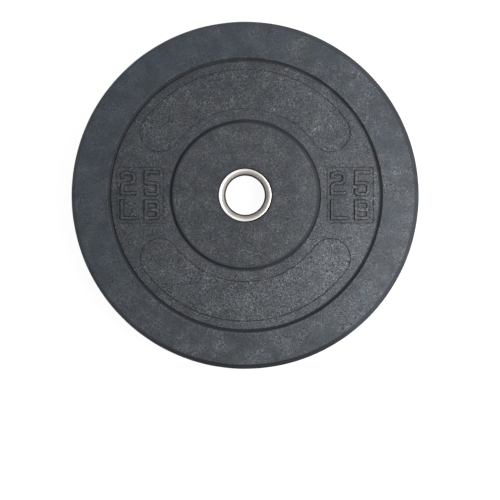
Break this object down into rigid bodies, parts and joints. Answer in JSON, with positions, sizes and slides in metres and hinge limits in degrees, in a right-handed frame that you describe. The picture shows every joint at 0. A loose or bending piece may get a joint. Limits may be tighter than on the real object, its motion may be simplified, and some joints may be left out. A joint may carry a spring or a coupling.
{
  "type": "bumper plate",
  "caption": "Round crumb rubber weight plate with a raised rim and hub, recessed webs with pads and raised weight marks, and a flared steel insert with a through bore.",
  "frame": {"origin": "on the bore's axis, at the level of the rear rim face that the plate rests on", "axes": "+Z along the bore's axis towards the front face, +Y up and +X right for a reader of the front face's marks"},
  "size_m": [0.45, 0.45, 0.048],
  "materials": {
    "crumb_rubber": "matte",
    "stainless_steel": "satin",
    "sleeve_steel": "satin",
    "mild_steel": "matte"
  },
  "bodies": {
    "root": {"rubber_body": "crumb_rubber", "front_collar": "stainless_steel", "rear_collar": "stainless_steel", "bore_sleeve": "sleeve_steel", "anchor_disc": "mild_steel"}
  },
  "joints": []
}
